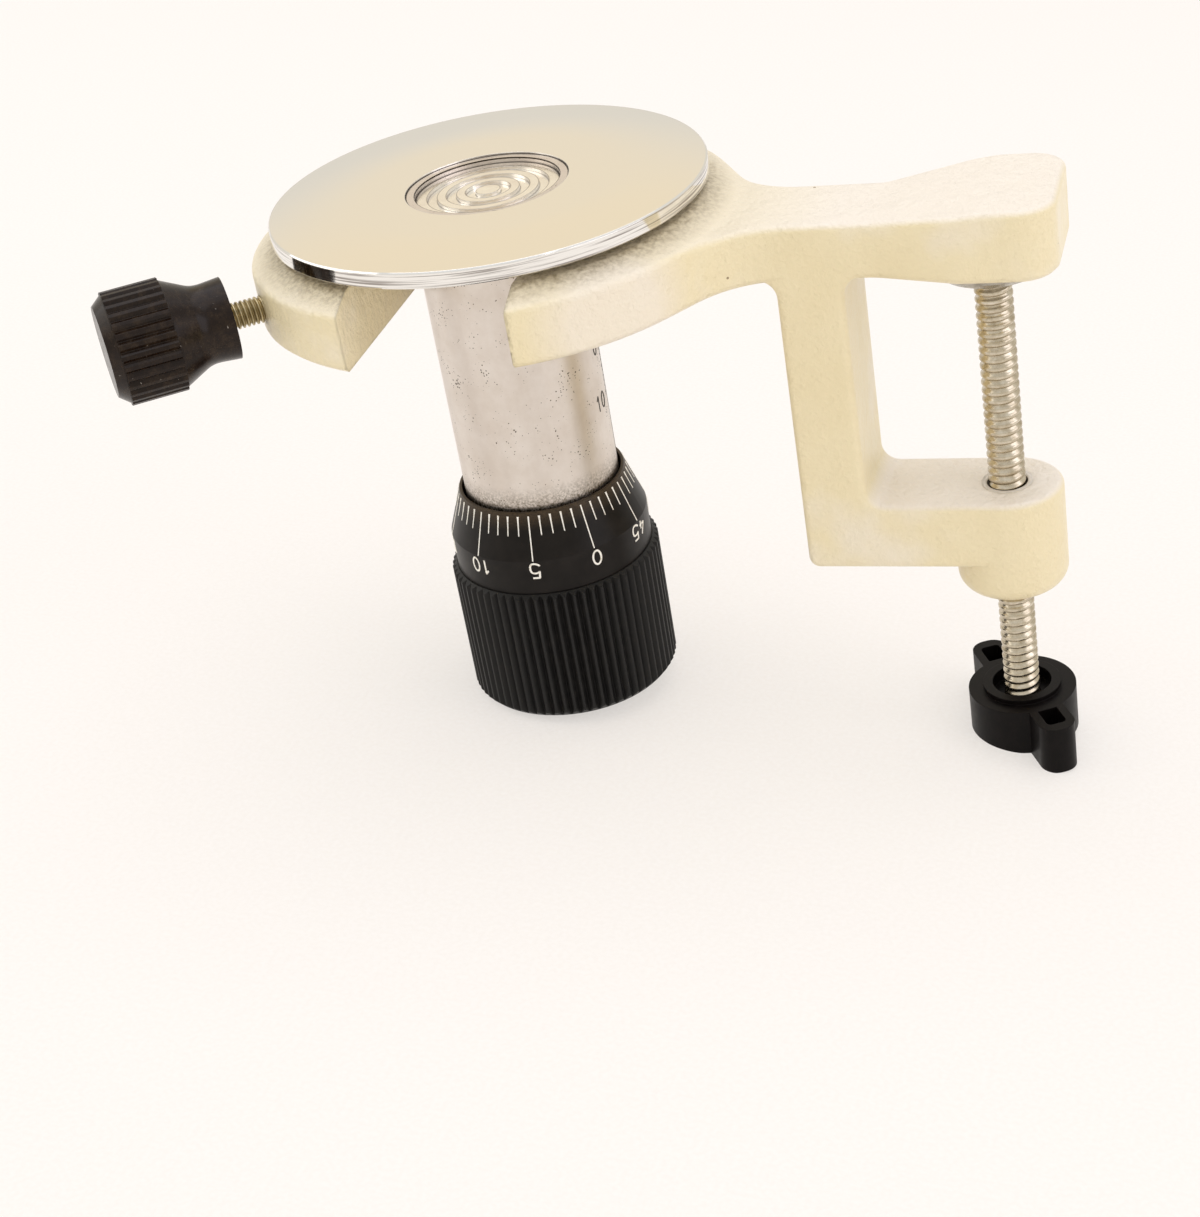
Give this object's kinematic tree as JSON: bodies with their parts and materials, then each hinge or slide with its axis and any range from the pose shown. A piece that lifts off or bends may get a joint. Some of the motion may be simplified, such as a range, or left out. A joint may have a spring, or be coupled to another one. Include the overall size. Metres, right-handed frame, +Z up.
{
  "type": "hand microtome",
  "caption": "Hand microtome: round cutting plate on a barrel with a graduated feed drum, held in a slotted cast fork with a screw table clamp.",
  "frame": {"origin": "centre of the cutting plate's top face, on the barrel's axis", "axes": "+Z up along the barrel, +X along the arm to the table clamp, -Y out of the fork's slot"},
  "size_m": [0.1561, 0.0881, 0.1085],
  "materials": {
    "polished_steel": "polished",
    "turned_aluminium": "satin",
    "steel": "turned",
    "brass": "turned",
    "black_anodised": "black anodised, white filled graduations",
    "black_plastic": "moulded, ribbed",
    "black_gloss_plastic": "moulded, glossy",
    "cream_enamel": "cream stove enamel on a casting",
    "zinc_plated_steel": "bright zinc"
  },
  "bodies": {
    "frame": {"clamp_frame": "cream_enamel"},
    "unit": {"cutting_plate": "polished_steel", "barrel": "turned_aluminium", "feed_nut": "brass", "guide_screw": "steel"},
    "plunger": {"plunger": "turned_aluminium", "retaining_plate": "brass", "retainer_screws": "steel"},
    "drum": {"feed_spindle": "steel", "graduated_sleeve": "black_anodised", "drum_grip": "black_plastic", "drum_washer": "steel", "drum_nut": "steel"},
    "clamp_pad": {"clamp_pad": "zinc_plated_steel"},
    "clamp_screw": {"clamp_screw": "zinc_plated_steel", "wing_knob": "black_plastic"},
    "lock_tip": {"lock_pad": "brass"},
    "lock_knob": {"lock_screw": "steel", "side_knob": "black_gloss_plastic"}
  },
  "joints": [
    {"name": "unit_slide", "type": "slide", "parent": "frame", "child": "unit", "axis": [0, -1, 0], "range_m": [0, 0.045]},
    {"name": "plunger_feed", "type": "slide", "parent": "unit", "child": "plunger", "axis": [0, 0, 1], "range_m": [-0.015, 0.0012]},
    {"name": "drum_turn", "type": "hinge", "parent": "plunger", "child": "drum", "pos_m": [0, 0, -0.08], "axis": [0, 0, 1], "range_deg": [-10800, 864]},
    {"name": "clamp_feed", "type": "slide", "parent": "frame", "child": "clamp_pad", "axis": [0, 0, 1], "range_m": [-0.03825, 0]},
    {"name": "clamp_turn", "type": "hinge", "parent": "clamp_pad", "child": "clamp_screw", "pos_m": [0.0835, 0, -0.1], "axis": [0, 0, 1], "range_deg": [-9180, 0]},
    {"name": "lock_feed", "type": "slide", "parent": "frame", "child": "lock_tip", "axis": [0.8192, 0.5736, 0], "range_m": [-0.006, 0.0044]},
    {"name": "lock_turn", "type": "hinge", "parent": "lock_tip", "child": "lock_knob", "pos_m": [-0.0344, -0.0241, -0.011], "axis": [0.8192, 0.5736, 0], "range_deg": [-1800, 1320]}
  ],
  "couplings": [
    {"joint": "drum_turn", "follows": "plunger_feed", "rad_per_m": 12566},
    {"joint": "clamp_turn", "follows": "clamp_feed", "rad_per_m": 4188.8},
    {"joint": "lock_turn", "follows": "lock_feed", "rad_per_m": 5236}
  ]
}
